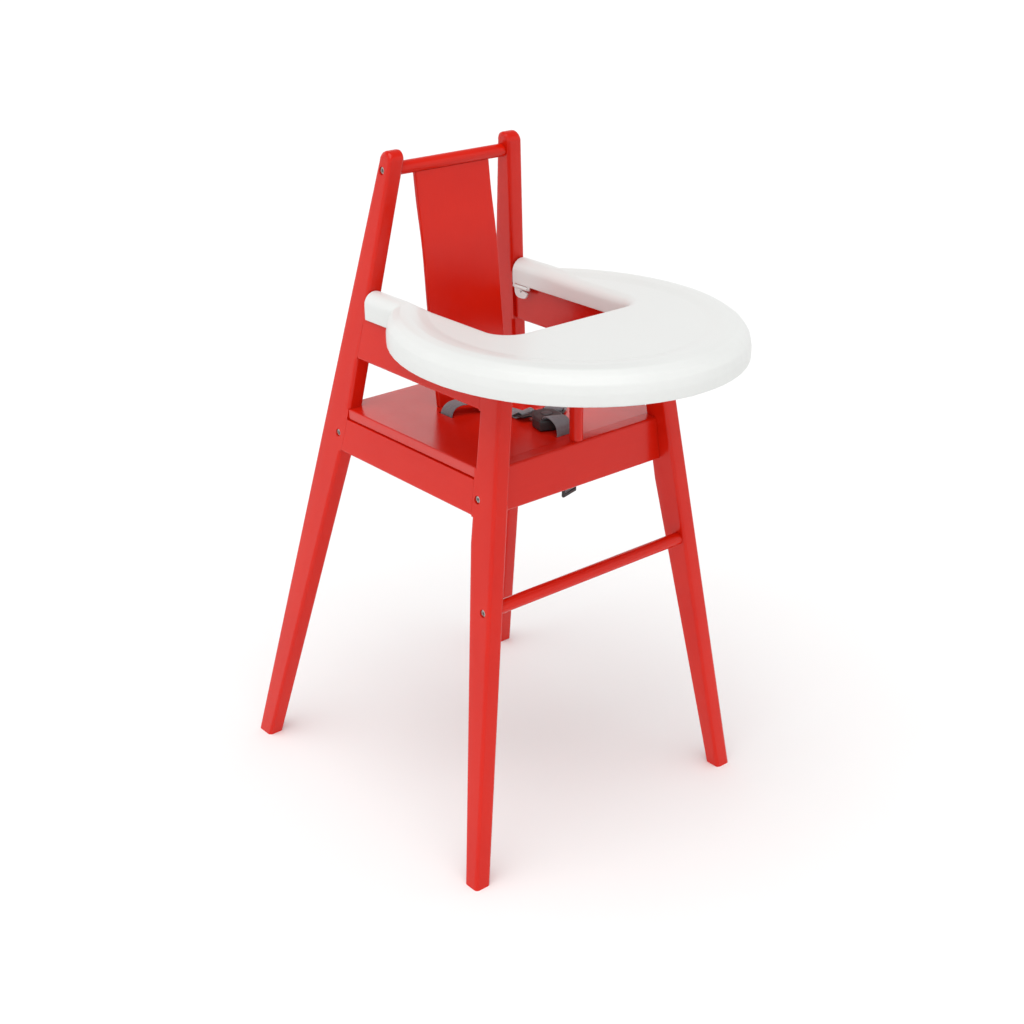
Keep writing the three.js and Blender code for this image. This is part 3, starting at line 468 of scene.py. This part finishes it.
WEBBING_WIDTH = 25 * MM
WEBBING_THICKNESS = 1.4 * MM
CHAIR_SHIFT = 72.6                 # from the feet's middle to the frame's origin, along Y, in mm
SEAT_Z = 559.3                     # middle of webbing that lies on the seat
SLOT_X, SLOT_Y = 72, -8
BUCKLE_X, BUCKLE_Y, BUCKLE_YAW = 6, -126, -24
TONGUE_ANGLE = 32


def catmull_rom(points, steps):
    """Smooth rows through the given rows, with "steps" rows to a stretch."""
    rows = np.array(points, float)
    rows = np.vstack([2 * rows[0] - rows[1], rows, 2 * rows[-1] - rows[-2]])
    out = []
    for i in range(1, len(rows) - 2):
        a, b, c, d = rows[i - 1:i + 3]
        for t in np.arange(steps) / steps:
            out.append(0.5 * (2 * b + (c - a) * t + (2 * a - 5 * b + 4 * c - d) * t ** 2
                              + (3 * b - a - 3 * c + d) * t ** 3))
    out.append(rows[-2])
    return np.array(out)


def strap_section():
    """Cross-section of the webbing as (across, up) pairs, with rounded selvedges."""
    half, radius = WEBBING_WIDTH / 2, WEBBING_THICKNESS / 2
    flat = half - radius
    top = [(flat * (1 - k / 4), radius) for k in range(9)]
    left = [(-flat - radius * math.sin(a), radius * math.cos(a)) for a in np.radians((30, 60, 90, 120, 150))]
    loop = top + left
    return loop + [(-a, -b) for a, b in loop]


def ribbon(name, route, steps=8):
    """Webbing along rows of x, y, z in mm from the feet's middle, and heading in degrees from +X."""
    rows = catmull_rom(route, steps)
    centre = (rows[:, :3] + (0, CHAIR_SHIFT, 0)) * MM
    heading = np.radians(rows[:, 3])
    tangent = np.gradient(centre, axis=0)
    tangent /= np.linalg.norm(tangent, axis=1)[:, None]
    across = np.stack([-np.sin(heading), np.cos(heading), np.zeros(len(rows))], axis=1)
    normal = np.cross(tangent, across)
    normal /= np.linalg.norm(normal, axis=1)[:, None]
    length = np.concatenate([[0], np.cumsum(np.linalg.norm(np.diff(centre, axis=0), axis=1))])
    section = strap_section()
    count = len(section)
    mesh = bmesh.new()
    layer = mesh.loops.layers.uv.new("strap")
    rings = [[mesh.verts.new(centre[i] + a * across[i] + b * normal[i]) for a, b in section]
             for i in range(len(rows))]
    for i in range(len(rows) - 1):
        for k in range(count):
            n = (k + 1) % count
            face = mesh.faces.new((rings[i][k], rings[i][n], rings[i + 1][n], rings[i + 1][k]))
            face.smooth = True
            for loop, (row, column) in zip(face.loops, ((i, k), (i, n), (i + 1, n), (i + 1, k))):
                loop[layer].uv = (length[row], section[column][0])
    for ring in (rings[0], rings[-1][::-1]):
        cap = mesh.faces.new(ring)
        for loop in cap.loops:
            loop[layer].uv = (0, 0)
    bmesh.ops.recalc_face_normals(mesh, faces=mesh.faces)
    data = bpy.data.meshes.new(name)
    mesh.to_mesh(data)
    mesh.free()
    piece = link_mesh(name, data, WEBBING)
    return piece


def tongue_heading(side):
    return 90 + BUCKLE_YAW - side * TONGUE_ANGLE


def along_tongue(side, reach):
    """Point on a tongue's line, "reach" mm from the buckle's middle."""
    heading = math.radians(tongue_heading(side))
    return BUCKLE_X + reach * math.cos(heading), BUCKLE_Y + reach * math.sin(heading)


LAP_ROUTES = {
    "right": [
        (-SLOT_X, SLOT_Y, 474, 0), (-SLOT_X, SLOT_Y, 520, 0), (-SLOT_X, SLOT_Y, 550, 0),
        (-71.2, -8.4, 561, -2),
        (-64, -10, 570, -8), (-51, -14, 573, -14), (-39, -18, 570.5, -18), (-27, -23, 564.5, -26),
        (-17, -29, SEAT_Z + 1, -40), (-7, -39, SEAT_Z, -58), (-1, -52, SEAT_Z, -78),
        (1.5, -66, SEAT_Z, -83),
    ],
    "left": [
        (SLOT_X, SLOT_Y, 474, 180), (SLOT_X, SLOT_Y, 520, 180), (SLOT_X, SLOT_Y, 550, 180),
        (71.6, -8.6, 562, 182),
        (71, -15, 570.5, 212), (69.5, -27, 575, 240), (68.5, -41, 573, 254), (67.5, -54, 567, 254),
        (66.3, -65, 561.3, 250), (64, -75, SEAT_Z, 243), (59.5, -84, SEAT_Z, 233), (53, -92, SEAT_Z, 222),
    ],
}
# Reach from the buckle's middle and height: under the tongue's bar, up through its slot, and back.
BAR_LOOP = [
    (46, SEAT_Z + 0.4), (40, 562.2), (35.6, 563.6), (33.4, 565.6), (33.8, 568), (37, 569.2),
    (41, 568.6), (46, 565.6), (52, 562.2), (58, 561.2), (64, 561.0),
]

for side, sign in SIDES:
    loop = [(*along_tongue(sign, reach), z, tongue_heading(sign) - 180) for reach, z in BAR_LOOP]
    strap = ribbon(f"webbing_lap_{side}", LAP_ROUTES[side] + loop)
    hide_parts(f"lap_strap_{side}", f"lap_strap_end_{side}")
    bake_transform(strap)
    moulded(f"tongue_{side}", f"buckle_tongue_{side}", BLACK_PLASTIC, 0.3 * MM, 3, 9000)
    moulded(f"slider_{side}", f"strap_slider_{side}", BLACK_PLASTIC, 0.35 * MM, 3, 7000)

CROTCH_Y = -168
TAIL_X, TAIL_HEADING = 9.5, 105
crotch = ribbon("webbing_crotch", [
    (TAIL_X, CROTCH_Y, 474, TAIL_HEADING), (TAIL_X, CROTCH_Y, 496, TAIL_HEADING), (6, CROTCH_Y, 516, 99),
    (1.2, CROTCH_Y, 538, 91), (0, CROTCH_Y, 550, 90), (0, -168.4, 562, 90), (-0.3, -167, 571, 86),
    (-0.8, -161, 577, 78), (-1.4, -153.5, 579.4, 70), (-2, -147.6, 578.4, 66), (-2.1, -144.8, 573, 66),
    (-2.1, -144.3, 563, 66),
])
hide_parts("crotch_strap")
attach(crotch, "chair")
moulded("slider_crotch", "strap_slider_crotch", BLACK_PLASTIC, 0.35 * MM, 3, 7000)
moulded("buckle_shell", "buckle_housing", BLACK_PLASTIC, 0.4 * MM, 4, 16000)
moulded("buckle_press", "buckle_button", BUTTON_PLASTIC, 0.3 * MM, 3, 6000)

# ---- Stage --------------------------------------------------------------------------------------

corners = ((-1, -1), (1, -1), (1, 1), (-1, 1))
floor_corners = [(x * FLOOR_HALF_SIZE, y * FLOOR_HALF_SIZE, 0) for x, y in corners]
floor = link_mesh("floor", mesh_from(floor_corners, [(0, 1, 2, 3)], "floor"), floor_finish())
add_studio(WALL_LIGHT, CEILING_LIGHT)
add_distant_softbox("key", KEY_TOWARDS, KEY_STRENGTH, KEY_SPREAD)
add_camera()
bpy.context.scene.view_settings.view_transform = "Standard"
